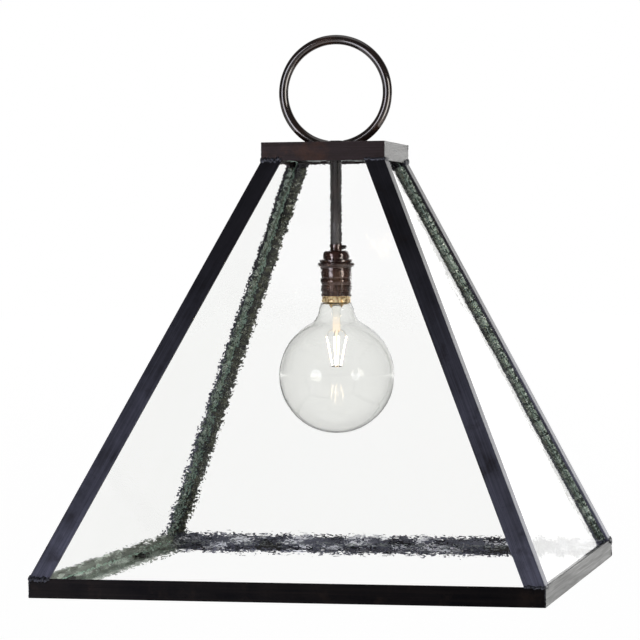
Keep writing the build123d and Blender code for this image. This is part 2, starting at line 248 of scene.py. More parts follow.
# Materials.
class Shader:
    """A material's node tree, with short calls for the nodes that it needs."""

    def __init__(self, name):
        self.material = bpy.data.materials.new(name)
        self.material.use_nodes = True
        self.tree = self.material.node_tree
        self.surface = self.tree.nodes["Principled BSDF"]
        self.coords = self.tree.nodes.new("ShaderNodeTexCoord").outputs["Object"]

    def add(self, kind, values, **settings):
        """A new node with its settings, and its inputs linked or set."""
        node = self.tree.nodes.new(kind)
        for key, value in settings.items():
            setattr(node, key, value)
        for key, value in values.items():
            feed(self.tree, value, node.inputs[key])
        return node

    def along(self, direction, stretch):
        """Coordinates turned so that X follows a direction, then scaled."""
        turn = Vector(direction).rotation_difference(Vector((1, 0, 0))).to_euler()
        turned = self.add("ShaderNodeMapping", {"Vector": self.coords, "Rotation": turn}).outputs[0]
        return self.add("ShaderNodeMapping", {"Vector": turned, "Scale": stretch}).outputs[0]

    def noise(self, scale, detail, roughness, vector=None):
        """Noise between 0 and 1."""
        values = {"Scale": scale, "Detail": detail, "Roughness": roughness, "Vector": vector or self.coords}
        return self.add("ShaderNodeTexNoise", values).outputs["Fac"]

    def spread(self, value, low, high, out_low=0.0, out_high=1.0):
        """A value carried from one range to another, and held at its ends."""
        return ranged(self.tree, value, (low, high, out_low, out_high))

    def ramp(self, value, stops):
        """A colour picked by a value between (place, colour) stops."""
        node = self.add("ShaderNodeValToRGB", {0: value})
        elements = node.color_ramp.elements
        while len(elements) < len(stops):
            elements.new(0.5)
        for element, (place, colour) in zip(elements, stops):
            element.position = place
            element.color = (*colour, 1.0)
        return node.outputs[0]

    def mix(self, share, first, second):
        """A colour that holds a share of the second one."""
        values = {0: share, 6: opaque(first), 7: opaque(second)}
        return self.add("ShaderNodeMix", values, data_type="RGBA").outputs[2]

    def bump(self, height, distance, strength, normal=None):
        """A normal bent by a height."""
        values = {"Height": height, "Distance": distance, "Strength": strength}
        if normal is not None:
            values["Normal"] = normal
        return self.add("ShaderNodeBump", values).outputs[0]

    def finish(self, values):
        """Feeds the surface and gives the material."""
        for key, value in values.items():
            feed(self.tree, value, self.surface.inputs[key])
        return self.material

    def show(self, shader):
        """Takes a shader as the whole surface and gives the material."""
        self.tree.links.new(shader, self.tree.nodes["Material Output"].inputs["Surface"])
        return self.material


FINE_PIT = 0.00006
COARSE_PIT = 0.00012


def frame_steel(
    name,
    direction,
    tones,
    rust,
    rust_share,
    pit=FINE_PIT,
    painted_light_foot_tones=None,
    level=0.3,
    painted_glints=None,
    outer_face=None,
):
    """Blackened hot-rolled bar: drawn lines along it, mill scale and rusty places.

    painted_light_foot_tones are lighter colours near the base, painted light; scuffs the colour of pale
    painted glints in streaks along it; and outer_face the direction that its outer side faces, which keeps
    plain dark steel without the painted light or glints.
    """
    s = Shader(name)
    lines = s.noise(1.0, 4.0, 0.6, s.along(direction, (14.0, 900.0, 900.0)))
    wide_lines = s.noise(1.0, 2.0, 0.5, s.along(direction, (5.0, 260.0, 260.0)))
    patches = s.noise(26.0, 4.0, 0.6)
    specks = s.noise(420.0, 2.0, 0.6)
    dark, light = tones
    # Near the base the tones turn lighter: painted light low on the bar.
    if painted_light_foot_tones:
        up = s.spread(axes(s.tree, s.coords)[2], 0.03, 0.36)
        dark = s.mix(up, painted_light_foot_tones[0], dark)
        light = s.mix(up, painted_light_foot_tones[1], light)
    tone = s.mix(s.spread(patches, 0.32, 0.72), dark, light)
    tone = s.mix(s.spread(wide_lines, 0.42, 0.64, 0.0, 0.7), tone, light)
    tone = s.mix(s.spread(lines, 0.44, 0.6, 0.0, 0.45), tone, dark)
    rusty = s.spread(s.noise(34.0, 5.0, 0.65), 0.62 - 0.2 * rust_share, 0.78, 0.0, 0.8)
    tone = s.mix(rusty, tone, rust)
    tone = s.mix(s.spread(specks, 0.62, 0.7, 0.0, 0.35), tone, dark)
    # Pale streaks along the bar: painted glints.
    if painted_glints:
        glint_streaks = s.noise(1.0, 1.0, 0.5, s.along(direction, (34.0, 330.0, 330.0)))
        tone = s.mix(s.spread(glint_streaks, 0.42, 0.38), tone, dark)
        tone = s.mix(s.spread(glint_streaks, 0.6, 0.62), tone, painted_glints)
    # The outer side keeps plain dark steel, without the painted light and glints.
    if outer_face:
        place = combine(s.tree, "DOT_PRODUCT", s.coords, outer_face)
        outside = s.spread(place, BASE / 2 - 0.0016, BASE / 2 - 0.0012)
        tone = s.mix(outside, tone, s.mix(s.spread(wide_lines, 0.42, 0.64), SOOT, BLUE_BLACK))
    sheen = s.spread(lines, 0.3, 0.7, 0.28, 0.46)
    normal = s.bump(s.spread(lines, 0.3, 0.7), 0.00003, 0.7)
    normal = s.bump(s.noise(520.0, 3.0, 0.6), pit, 0.9, normal)
    values = {"Base Color": tone, "Metallic": 0.5, "Specular IOR Level": level, "Roughness": sheen}
    return s.finish({**values, "Normal": normal})


def bronze(name, tones, worn, rough_high=0.22, metallic=0.4, fleck=0.5, grain=0.00001):
    """Dark bronze plate, worn a little in scattered places."""
    s = Shader(name)
    tone = s.ramp(s.noise(70.0, 4.0, 0.6), [(0.34, tones[0]), (0.7, tones[1])])
    tone = s.mix(s.spread(s.noise(38.0, 3.0, 0.6), 0.5, 0.72, 0.0, 0.6), tone, worn)
    tone = s.mix(s.spread(s.noise(310.0, 3.0, 0.6), 0.6, 0.74, 0.0, fleck), tone, worn)
    rough = s.spread(s.noise(160.0, 3.0, 0.6), 0.3, 0.7, 0.12, rough_high)
    normal = s.bump(s.noise(600.0, 3.0, 0.6), grain, 0.8)
    values = {"Base Color": tone, "Metallic": metallic, "Specular IOR Level": 0.8}
    values.update({"Coat Weight": 1.0, "Coat Roughness": 0.06, "Coat IOR": 1.8})
    return s.finish({**values, "Roughness": rough, "Normal": normal})


def plain(name, low, high, scale, roughness, metallic=0.0, bump_distance=0.00005):
    """A matt or metal finish with a fine mottle and a fine grain."""
    s = Shader(name)
    tone = s.ramp(s.noise(scale, 4.0, 0.6), [(0.3, low), (0.7, high)])
    rough = s.spread(s.noise(scale * 2.3, 3.0, 0.6), 0.3, 0.7, roughness - 0.08, roughness + 0.1)
    normal = s.bump(s.noise(scale * 3.1, 3.0, 0.6), bump_distance, 0.8)
    return s.finish({"Base Color": tone, "Metallic": metallic, "Roughness": rough, "Normal": normal})


def putty(name, dark, middle, light, painted_glint):
    """Glazing putty pressed against glass: darker in its hollows and paler on its lumps, painted shade and
    light, with a few painted glints.
    """
    s = Shader(name)
    lumps_with_painted_shade = s.noise(250.0, 2.0, 0.6)
    # The colour follows the lumps' height: painted shade in the hollows, painted light on the tops.
    tone = s.ramp(lumps_with_painted_shade, [(0.46, dark), (0.51, middle), (0.58, light)])
    # Pale points: painted glints.
    tone = s.mix(s.spread(s.noise(380.0, 1.0, 0.5), 0.63, 0.66), tone, painted_glint)
    rough = s.spread(lumps_with_painted_shade, 0.35, 0.65, 0.6, 0.85)
    normal = s.bump(lumps_with_painted_shade, 0.0006, 0.8)
    return s.finish({"Base Color": tone, "Roughness": rough, "Normal": normal})


def clear_glass(name, tint, roughness, normal_of=None, ior=1.5, clear=1.0, top=None, calm=0.0, glow=None):
    """Clear glass that lets the lamps' light through to what is behind it.

    top is the tint of its upper part, calm the share of it that bends light and doesn't mirror, and glow the
    colour of a painted glow and the range in which that fades upwards.
    """
    s = Shader(name)
    values = {"Base Color": opaque(tint), "Transmission Weight": clear, "Roughness": roughness, "IOR": ior}
    if top:
        blotch = s.spread(s.noise(13.0, 3.0, 0.6), 0.3, 0.7, -0.045, 0.045)
        level = calculate(s.tree, "ADD", axes(s.tree, s.coords)[2], blotch)
        values["Base Color"] = s.mix(s.spread(level, 0.27, 0.33), tint, top)
    if normal_of:
        values["Normal"] = normal_of(s)
    # A painted glow: light from the filaments painted into the glass, fading upwards.
    if glow:
        values["Emission Color"] = opaque(glow[0])
        values["Emission Strength"] = s.spread(axes(s.tree, s.coords)[2], *glow[1])
    s.finish(values)
    face = s.surface.outputs[0]
    if calm:
        through = shading(s.tree, "ShaderNodeBsdfRefraction", opaque(tint), roughness, ior)
        face = shading(s.tree, "ShaderNodeMixShader", calm, face, through)
    open_air = shading(s.tree, "ShaderNodeBsdfTransparent", opaque([0.5 + 0.5 * c for c in tint]))
    in_shadow = s.add("ShaderNodeLightPath", {}).outputs["Is Shadow Ray"]
    return s.show(shading(s.tree, "ShaderNodeMixShader", in_shadow, face, open_air))


def rippled(direction, tilt_along, tilt_up, shards, calm=None):
    """The face of old drawn glass: flat patches, each tilted a little, over soft waves.

    shards is the strength of the finest patches, and calm a ball (middle, low, high) with smoother glass.
    """

    def cells(s, stretch):
        """Patches, each with a tilt of its own between -0.5 and 0.5."""
        wander = s.noise(1.0, 2.0, 0.5, s.along(direction, (45.0, 45.0, 45.0)))
        place = combine(s.tree, "ADD", s.along(direction, stretch), wander)
        patches = s.add("ShaderNodeTexVoronoi", {"Vector": place})
        return combine(s.tree, "SUBTRACT", patches.outputs["Color"], (0.5, 0.5, 0.5))

    def normal_of(s):
        """The normal of the glass."""
        side = Vector(direction)
        across, deep = abs(side.x), abs(side.y)
        blocks = (tilt_along * across, tilt_along * deep, tilt_up)
        dashes = tuple(shards * d for d in (0.05 * tilt_along * across, 0.05 * tilt_along * deep, tilt_up))
        wide = cells(s, (85.0, 110.0, 110.0))
        fine = cells(s, (40.0, 300.0, 300.0))
        cubed = combine(s.tree, "MULTIPLY", combine(s.tree, "MULTIPLY", fine, fine), fine)
        wide = combine(s.tree, "MULTIPLY", wide, blocks)
        tilt = combine(s.tree, "ADD", wide, combine(s.tree, "MULTIPLY", cubed, dashes))
        if calm:
            middle, low, high = calm
            away = combine(s.tree, "DISTANCE", s.coords, middle)
            tilt = combine(s.tree, "MULTIPLY", tilt, s.spread(away, low, high, 0.12, 1.0))
        waves = s.bump(s.noise(40.0, 2.0, 0.5), 0.0004, 0.3)
        return combine(s.tree, "NORMALIZE", combine(s.tree, "ADD", waves, tilt))

    return normal_of


BLACK = (0.006, 0.005, 0.007)
SOOT = (0.010, 0.010, 0.013)
BLUE_BLACK = (0.030, 0.029, 0.038)
SLATE_DARK = (0.045, 0.045, 0.060)
SLATE = (0.160, 0.165, 0.235)
BROWN_BLACK = (0.014, 0.008, 0.007)
PURPLE_BROWN = (0.030, 0.020, 0.022)
RUST = (0.060, 0.026, 0.016)

# The rails are one steel in four tones. The front rail is painted darker, painted shade. The back and left
# rails are painted pale slate and grey-green on their inner faces, with pale streaks: painted reflection and
# painted glints. Their outer faces stay dark.
rail_front_painted_shade = frame_steel(
    "rail_steel_front_painted_shade",
    (1, 0, 0),
    ((0.003, 0.003, 0.004), (0.010, 0.008, 0.008)),
    (0.022, 0.015, 0.012),
    0.4,
    level=0.05,
)
rail_back_painted_light = frame_steel(
    "rail_steel_back_painted_light",
    (1, 0, 0),
    (SOOT, (0.170, 0.175, 0.220)),
    SLATE_DARK,
    0.2,
    painted_glints=(0.75, 0.76, 0.80),
    outer_face=(0, 1, 0),
)
rail_right = frame_steel(
    "rail_steel_right", (0, 1, 0), (BLACK, (0.030, 0.032, 0.028)), (0.030, 0.022, 0.018), 0.2, COARSE_PIT
)
rail_left_painted_light = frame_steel(
    "rail_steel_left_painted_light",
    (0, 1, 0),
    ((0.150, 0.170, 0.145), (0.520, 0.590, 0.530)),
    (0.200, 0.160, 0.120),
    0.3,
    COARSE_PIT,
    painted_glints=(0.75, 0.84, 0.77),
    outer_face=(-1, 0, 0),
)
cap_steel = frame_steel("cap_steel", (1, 0, 0), (BROWN_BLACK, PURPLE_BROWN), RUST, 0.35, 0.00016)
# The cap's right face gets a lighter grey copy of the cap steel, rough and pitted: its lighter tone is painted
# sheen.
cap_rough_painted_sheen = plain("cap_steel_rough_painted_sheen", (0.008, 0.008, 0.008), (0.110, 0.108, 0.102), 260.0, 0.26, 0.6, 0.0012)
weld_metal = plain("weld_metal", (0.004, 0.004, 0.006), (0.090, 0.093, 0.115), 420.0, 0.3, 0.8, 0.00015)
ring_bronze = bronze("ring_bronze", ((0.012, 0.007, 0.006), (0.036, 0.021, 0.018)), (0.080, 0.036, 0.022))
stem_bronze = bronze("stem_bronze", ((0.012, 0.008, 0.008), (0.034, 0.023, 0.022)), (0.060, 0.036, 0.030))
holder_tones = ((0.030, 0.009, 0.005), (0.090, 0.030, 0.017))
holder_bronze = bronze("holder_bronze", holder_tones, (0.260, 0.150, 0.085), 0.24, 0.5, 0.9, 0.00003)
# One glazing tape in two tones: a pale lit copy for the side panes and a dark shaded copy for the front and
# back panes, painted light and shade.
bedding_pale_lit = putty(
    "bedding_pale_lit", (0.012, 0.020, 0.015), (0.120, 0.160, 0.130), (0.260, 0.320, 0.270), (0.600, 0.660, 0.600)
)
bedding_olive_shaded = putty(
    "bedding_olive_shaded", (0.000, 0.001, 0.000), (0.018, 0.020, 0.011), (0.070, 0.074, 0.048), (0.340, 0.360, 0.300)
)
seam_cement = plain("seam_cement", (0.200, 0.300, 0.250), (0.480, 0.640, 0.560), 240.0, 0.6)
block_rubber = plain("block_rubber", (0.012, 0.012, 0.012), (0.030, 0.030, 0.030), 300.0, 0.7)
ceramic = plain("ceramic", (0.62, 0.60, 0.54), (0.78, 0.76, 0.70), 90.0, 0.5)
brass = plain("brass", (0.52, 0.34, 0.11), (0.80, 0.58, 0.24), 120.0, 0.26, 1.0, 0.00003)
bright_wire = plain("bright_wire", (0.50, 0.49, 0.46), (0.70, 0.69, 0.66), 300.0, 0.25, 1.0, 0.00002)
black_glass = plain("black_glass", (0.010, 0.010, 0.012), (0.020, 0.020, 0.024), 200.0, 0.15)
solder = plain("solder", (0.34, 0.33, 0.31), (0.55, 0.54, 0.50), 240.0, 0.38, 0.9)
PANE_TINT = (0.962, 0.964, 0.956)
PANE_TOP = (0.996, 0.997, 0.996)
PANE_IOR = 1.25
LEFT_IOR = 1.45
# The part of the front pane that the globe is seen through: its middle, and where it ends.
CALM = ((0.0365, -0.17, 0.225), 0.075, 0.105)
CLEAREST = (0.999, 1.0, 0.999)
pane_along_x = clear_glass(
    "pane_glass_x", PANE_TINT, 0.0, rippled((1, 0, 0), 0.055, 0.03, 7.0, CALM), PANE_IOR, top=PANE_TOP
)
pane_along_y = clear_glass("pane_glass_y", PANE_TINT, 0.0, rippled((0, 1, 0), 0.012, 0.012, 6.0), PANE_IOR)
pane_inner = clear_glass("pane_glass_inner", CLEAREST, 0.0, ior=PANE_IOR)
pane_left = clear_glass("pane_glass_left", (0.990, 0.992, 0.984), 0.0, ior=LEFT_IOR, calm=0.9)
pane_inner_left = clear_glass("pane_glass_inner_left", CLEAREST, 0.0, ior=LEFT_IOR, calm=0.9)
# The sloping edges along the legs are near-black glass: painted shade.
pane_edge_side_painted_shade = clear_glass("pane_glass_edge_side_painted_shade", (0.030, 0.045, 0.038), 0.3, ior=PANE_IOR, clear=0.5)
pane_edge_foot = clear_glass("pane_glass_edge_foot", (0.46, 0.72, 0.60), 0.35, ior=PANE_IOR, clear=0.4)
pane_edge_grey = clear_glass("pane_glass_edge_grey", (0.30, 0.34, 0.33), 0.35, ior=PANE_IOR, clear=0.4)
pane_arris = clear_glass("pane_glass_arris", (0.62, 0.86, 0.75), 0.5, ior=PANE_IOR, clear=0.3)
lamp_glass = clear_glass("lamp_glass", (0.962, 0.964, 0.952), 0.04, ior=1.4, calm=0.1)
# The glass mount's painted glow: light from the filaments painted into it near the cap.
MOUNT_PAINTED_GLOW = ((1.0, 0.60, 0.26), (0.262, 0.284, 0.3, 0.0))
mount_glass = clear_glass("mount_glass", (0.98, 0.97, 0.93), 0.03, ior=1.12, glow=MOUNT_PAINTED_GLOW)

filament_glow = Shader("filament_glow")
dots = filament_glow.noise(700.0, 2.0, 0.5)
filament_glow.finish(
    {
        "Base Color": filament_glow.ramp(dots, [(0.3, (1.0, 0.62, 0.22)), (0.7, (1.0, 0.76, 0.38))]),
        "Roughness": 0.5,
        "Emission Color": (1.0, 0.80, 0.52, 1.0),
        "Emission Strength": 45.0,
    }
)
# The lamp cap's brass carries a painted glow: its emission, strongest on its bright speckles, is light from
# the filaments painted onto it.
brass_painted_glow = Shader("brass_painted_glow")
speckle_and_painted_glow = brass_painted_glow.noise(420.0, 3.0, 0.6)
brass_painted_glow.finish(
    {
        "Base Color": brass_painted_glow.ramp(speckle_and_painted_glow, [(0.4, (0.40, 0.22, 0.07)), (0.6, (1.0, 0.84, 0.52))]),
        "Metallic": 0.9,
        "Roughness": 0.3,
        "Normal": brass_painted_glow.bump(brass_painted_glow.noise(420.0, 3.0, 0.6), 0.0003, 0.8),
        "Emission Color": (1.0, 0.74, 0.42, 1.0),
        "Emission Strength": brass_painted_glow.spread(speckle_and_painted_glow, 0.4, 0.65, 0.05, 0.45),
    }
)


def leg_direction(corner):
    """The direction of a corner leg, from its foot to its head."""
    x = -1 if "left" in corner else 1
    y = -1 if "front" in corner else 1
    return Vector((-x * RUN, -y * RUN, RISE)).normalized()


# Finish of the solids that stay.
def dress(name, material, bevel=0.0):
    """Gives a solid its finish and, where its edges show, a small rounding."""
    node = nodes[name]
    node.data.materials.clear()
    node.data.materials.append(material)
    if bevel:
        weld = node.modifiers.new("weld", "WELD")
        weld.merge_threshold = 0.00001
        rounding = node.modifiers.new("rounding", "BEVEL")
        rounding.width = bevel
        rounding.segments = 2
        rounding.limit_method = "ANGLE"
        rounding.angle_limit = math.radians(35)


RAILS = {"front": rail_front_painted_shade, "right": rail_right, "back": rail_back_painted_light, "left": rail_left_painted_light}
for side in FACES:
    dress(f"base_rail_{side}", RAILS[side], 0.0006)
    dress(f"cap_side_{side}", cap_rough_painted_sheen if side == "right" else cap_steel, 0.0006)
    for hand in ("left", "right"):
        dress(f"setting_block_{side}_{hand}", block_rubber, 0.0004)
# Each leg's steel is lighter towards its foot: painted light.
for corner in CORNERS:
    leg_steel = frame_steel(
        f"leg_steel_{corner}",
        leg_direction(corner),
        (SOOT, BLUE_BLACK),
        BROWN_BLACK,
        0.2,
        painted_light_foot_tones=(SLATE_DARK, SLATE),
    )
    dress(f"leg_{corner}", leg_steel, 0.0006)
dress("cap_plate", cap_steel)
dress("stem_pipe", stem_bronze)
dress("stem_lock_nut", stem_bronze, 0.0004)
dress("holder_liner", ceramic)
dress("holder_screw_shell", brass)
dress("holder_contact", brass)
dress("lamp_contact", solder)
dress("lamp_insulator", black_glass)


# Panes of drawn glass, each a slab with a soft wave on both faces and hand-cut edges.
ARRIS = 0.0008
ARRIS_SHARE = 0.3
WAVE = 0.00022
CHIP = 0.00025
CHIP_REACH = 0.1
OUTER_FACE, INNER_FACE, LEVEL_EDGE, ARRIS_FACE, SLOPING_EDGE = range(5)


def stepped(start, end, index, steps):
    """Even steps from start to end, with a first and last one as narrow as the arris."""
    if index in (0, steps):
        return start if index == 0 else end
    return start + ARRIS + (end - start - 2 * ARRIS) * (index - 1) / (steps - 2)


def pane(side, degrees):
    """One pane, from its seat on the base rail to its head inside the cap."""
    outer_foot = (WALL + PANE_SEAT_GAP - LEAN_COS * PANE_OUTER) / LEAN_SIN
    outer_head = (CAP_BOTTOM + PANE_TOP_COVER - FLANGE + LEAN_SIN * PANE_OUTER) / LEAN_COS
    gap = PANE_SIDE_GAP * EDGE_STRETCH
    steps = 44
    place = face_frame(degrees, PANE_OUTER)
    verts = []
    seed = Vector((degrees * 0.37, 4.1, 1.7))
    for layer in (0, 1):
        for j in range(steps + 1):
            up = stepped(outer_foot, outer_head, j, steps)
            half = half_width(up) - gap
            for i in range(steps + 1):
                across = stepped(-half, half, i, steps)
                edge = min(i, j, steps - i, steps - j)
                wave = WAVE * noise.noise(Vector((across * 16, up * 9, layer)) + seed)
                if edge == 0:
                    chip = CHIP * abs(noise.noise(Vector((across * 130, up * 130, 3.0)) + seed))
                    pull = 1 - chip / CHIP_REACH
                    point = Vector((across * pull, up + (chip if j == 0 else -chip if j == steps else 0)))
                else:
                    point = Vector((across, up))
                depth = wave - WAVE if layer == 0 else wave + WAVE - GLASS
                verts.append(place @ Vector((point.x, point.y, depth)))
    row = steps + 1
    layer_size = row * row
    faces = []
    slots = []
    arris = side in ("left", "right")
    for j in range(steps):
        for i in range(steps):
            a = j * row + i
            border = min(i, j, steps - 1 - i, steps - 1 - j) == 0
            faces.append((a, a + 1, a + row + 1, a + row))
            slots.append(ARRIS_FACE if border and arris else OUTER_FACE)
            b = layer_size + a
            faces.append((b, b + row, b + row + 1, b + 1))
            slots.append(ARRIS_FACE if border and arris else INNER_FACE)
    rim = list(range(steps))
    rim += [steps + j * row for j in range(steps)]
    rim += [steps * row + steps - i for i in range(steps)]
    rim += [(steps - j) * row for j in range(steps)]
    first = len(verts)
    verts += [verts[a].lerp(verts[a + layer_size], ARRIS_SHARE) for a in rim]
    for k, a in enumerate(rim):
        after = (k + 1) % len(rim)
        b = rim[after]
        faces.append((a, first + k, first + after, b))
        faces.append((first + k, a + layer_size, b + layer_size, first + after))
        edge = LEVEL_EDGE if k < steps or 2 * steps <= k < 3 * steps else SLOPING_EDGE
        slots += [ARRIS_FACE if arris else edge, edge]
    lengthwise = side in ("front", "back")
    finish = [
        pane_along_x if lengthwise else pane_left if side == "left" else pane_along_y,
        pane_inner_left if side == "left" else pane_inner,
        pane_edge_grey if lengthwise else pane_edge_foot,
        pane_arris,
        pane_edge_side_painted_shade,
    ]
    piece = make_object(f"pane_{side}", verts, faces, finish, "lantern", 40, slots)
    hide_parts(f"glass_pane_{side}")


for side, degrees in FACES.items():
    pane(side, degrees)


# Bedding: strips of glazing tape between the panes and the legs.
def bedding_strip(side, degrees, hand):
    """A strip pressed out of square along its inner edge."""
    edge = -1 if hand == "left" else 1
    place = face_frame(degrees, WALL)
    foot = (LEAN_SIN * PANE_OUTER + 0.001) / LEAN_COS
    head = SLANT - 0.002
    gap = (BACK_BEDDING_GAP if side == "back" else PANE_SIDE_GAP) * EDGE_STRETCH
    width = BEDDING_WIDTHS[side] * EDGE_STRETCH
    steps = 200
    verts = []
    seed = Vector((degrees * 0.11, edge * 3.7, 0.4))
    for i in range(steps + 1):
        up = foot + (head - foot) * i / steps
        step = math.floor(5 * abs(noise.noise(Vector((up * 75, 0, 0)) + seed))) / 5
        pull = 0.0036 * step + 0.0006 * abs(noise.noise(Vector((up * 300, 2, 0)) + seed))
        outer = half_width(up) - gap
        inner = outer - width + pull
        for across, depth in (
            (outer, 0.0),
            (inner, 0.0),
            (inner - 0.0003, -0.0012),
            (inner - 0.0003, -0.0028),
            (inner, -BEDDING_WALL),
            (outer, -BEDDING_WALL),
        ):
            verts.append(place @ Vector((edge * across, up, depth)))
    faces = tube_faces(steps + 1, 6)
    if edge > 0:
        faces = [face[::-1] for face in faces]
    # The side panes' tape is the lit copy, the front and back panes' the shaded copy.
    finish = bedding_olive_shaded if side in ("front", "back") else bedding_pale_lit
    piece = make_object(f"bedding_{side}_{hand}", verts, faces, [finish], "lantern", 40)
    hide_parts(f"bedding_strip_{side}_{hand}")


for side, degrees in FACES.items():
    for hand in ("left", "right"):
        bedding_strip(side, degrees, hand)


def rod(name, points, radius, sides, material, body, flat=1.0):
    """A thin rod through a few points, closed at both ends."""
    points = [Vector(p) for p in points]
    verts = []
    for i, p in enumerate(points):
        ahead = points[min(i + 1, len(points) - 1)] - points[max(i - 1, 0)]
        side = ahead.cross(Vector((0.3, 0.9, 0.2))).normalized()
        other = ahead.cross(side).normalized()
        for j in range(sides):
            a = 2 * math.pi * j / sides
            verts.append(p + side * math.cos(a) * radius + other * math.sin(a) * radius * flat)
    return make_object(name, verts, tube_faces(len(points), sides), [material], body, 50)


# Seams: a thin wandering line of pale cement along the side edges of the left and right panes.
SEAM_RADIUS = 0.00045


def edge_seam(side, degrees, hand):
    """One seam, on the inner face of a pane."""
    edge = -1 if hand == "left" else 1
    place = face_frame(degrees, PANE_OUTER + GLASS)
    seed = Vector((degrees * 0.23, edge * 2.9, 6.1))
    foot = 0.012
    head = SLANT - 0.006
    steps = 150
    points = []
    for i in range(steps + 1):
        up = foot + (head - foot) * i / steps
        across = half_width(up) - PANE_SIDE_GAP * EDGE_STRETCH - 0.0008
        drift = 0.0030 * noise.noise(Vector((up * 34, 0, 0)) + seed)
        drift += 0.0012 * noise.noise(Vector((up * 130, 5, 0)) + seed)
        points.append(place @ Vector((edge * (across - abs(drift)), up, -0.0004)))
    rod(f"edge_seam_{side}_{hand}", points, SEAM_RADIUS, 8, seam_cement, "lantern")


for side in ("left", "right"):
    for hand in ("left", "right"):
        edge_seam(side, FACES[side], hand)


# Weld beads: rows of overlapping lumps along the seams.
def bead(name, start, end, width, height, out, seed, material=weld_metal, grain=0.0013):
    """A weld bead from start to end, as a row of overlapping rounded lumps facing out."""
    rng = random.Random(seed)
    start, end, out = Vector(start), Vector(end), Vector(out).normalized()
    line = end - start
    across = line.normalized().cross(out).normalized()
    count = max(3, int(line.length / grain))
    bm = bmesh.new()
    for i in range(count):
        share = (i + 0.5 + rng.uniform(-0.25, 0.25)) / count
        centre = start + line * share + across * rng.uniform(-0.22, 0.22) * width
        size = rng.uniform(0.75, 1.15)
        made = bmesh.ops.create_icosphere(bm, subdivisions=2, radius=1.0)
        for v in made["verts"]:
            lump = 1.0 + 0.16 * noise.noise(v.co * 1.9 + Vector((seed, i * 1.7, 0)))
            co = v.co * lump
            v.co = (
                centre
                + line.normalized() * co.x * grain * size
                + across * co.y * width * 0.5 * size
                + out * co.z * height * size
            )
    # The three directions are left-handed, so the faces are turned back outwards.
    bmesh.ops.reverse_faces(bm, faces=bm.faces)
    mesh = bpy.data.meshes.new(name)
    bm.to_mesh(mesh)
    bm.free()
    mesh.materials.append(material)
    mesh.shade_smooth()
    add_piece(name, mesh, "lantern")


def frame_welds():
    """Beads at each leg's foot and head, and down the corners of the base and of the cap."""
    strip = FLANGE * EDGE_STRETCH
    half = BASE / 2
    top = CAP / 2
    lip = 0.0004
    head = CAP_BOTTOM + 0.0010
    slope = (0, -LEAN_COS, LEAN_SIN)
    other_slope = (-LEAN_COS, 0, LEAN_SIN)
    corner_top = HEIGHT - 0.0008
    edge = -half + lip
    cap_edge = -top + lip
    # Width, height and grain of the beads.
    foot_bead = (0.0058, 0.0010, 0.0017)
    head_bead = (0.0062, 0.0013, 0.0018)
    corner_bead = (0.0022, 0.0005, 0.0013)
    cap_bead = (0.0016, 0.0004, 0.0012)
    seams = (
        ("foot_a", (-half + 0.001, -half, FLANGE), (-half + strip, -half, FLANGE), slope, foot_bead),
        ("foot_b", (-half, -half + 0.001, FLANGE), (-half, -half + strip, FLANGE), other_slope, foot_bead),
        ("head_a", (-top - lip, -top, head), (-top + strip, -top, head), (0, -1, 0.1), head_bead),
        ("head_b", (-top, -top - lip, head), (-top, -top + strip, head), (-1, 0, 0.1), head_bead),
        ("corner", (edge, edge, 0.001), (edge, edge, FLANGE), (-1, -1, 0), corner_bead),
        ("cap_corner", (cap_edge, cap_edge, head), (cap_edge, cap_edge, corner_top), (-1, -1, 0), cap_bead),
    )
    for k, corner in enumerate(CORNERS):
        turn = Matrix.Rotation(math.radians(90 * k), 3, "Z")
        slim = 0.6 if corner == "front_right" else 1.0
        for number, (word, start, end, out, (width, height, grain)) in enumerate(seams):
            bead(
                f"weld_{word}_{corner}",
                turn @ Vector(start),
                turn @ Vector(end),
                slim * width,
                slim * height,
                turn @ Vector(out),
                11 * k + number,
                grain=grain,
            )


frame_welds()


# Hanging ring: a round bar bent to a ring, its ends standing on the cap.
def hanging_ring():
    """The ring, cut off level with the top of the cap, and the beads along its ends."""
    major = (RING_OUTER - RING_BAR) / 2
    minor = RING_BAR / 2
    centre = HEIGHT - RING_SINK + RING_OUTER / 2
    reach = math.asin((NUT_FLATS / 2 + RING_NUT_GAP) / major)
    steps, sides = 220, 32
    verts = []
    for i in range(steps + 1):
        a = -math.pi / 2 + reach + (2 * math.pi - 2 * reach) * i / steps
        out = Vector((math.cos(a), 0, math.sin(a)))
        middle = Vector((0, 0, centre)) + out * major
        for j in range(sides):
            b = 2 * math.pi * j / sides
            swell = 1 + 0.012 * noise.noise(Vector((a * 5, b, 0.3)))
            p = middle + (out * math.cos(b) + Vector((0, 1, 0)) * math.sin(b)) * minor * swell
            p.z = max(p.z, HEIGHT + 0.00005)
            verts.append(p)
    piece = make_object("ring", verts, tube_faces(steps + 1, sides), [ring_bronze], "lantern", 50)
    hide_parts("hanging_ring")
    for hand in (-1, 1):
        inner = hand * 0.0135
        outer = hand * 0.0300
        for front in (-1, 1):
            bead(
                f"weld_ring_{'left' if hand < 0 else 'right'}_{'front' if front < 0 else 'back'}",
                (inner, front * 0.0042, HEIGHT),
                (outer, front * 0.0046, HEIGHT),
                0.0026,
                0.0010,
                (0, front * 0.5, 1),
                61 + 3 * hand + front,
                ring_bronze,
            )


hanging_ring()

# Stem: the sleeve, turned, with a small chamfer at its foot.
sleeve_profile = [
    (SLEEVE_BORE, HUB_TOP + 0.0001),
    (SLEEVE_OUTER - 0.0002, HUB_TOP + 0.0001),
    (SLEEVE_OUTER, HUB_TOP + 0.0004),
    (SLEEVE_OUTER, STEM_TOP - 0.0002),
    (SLEEVE_BORE, STEM_TOP - 0.0002),
]
sleeve = lathe("sleeve", sleeve_profile, 48, stem_bronze, "lantern")
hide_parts("stem_sleeve")

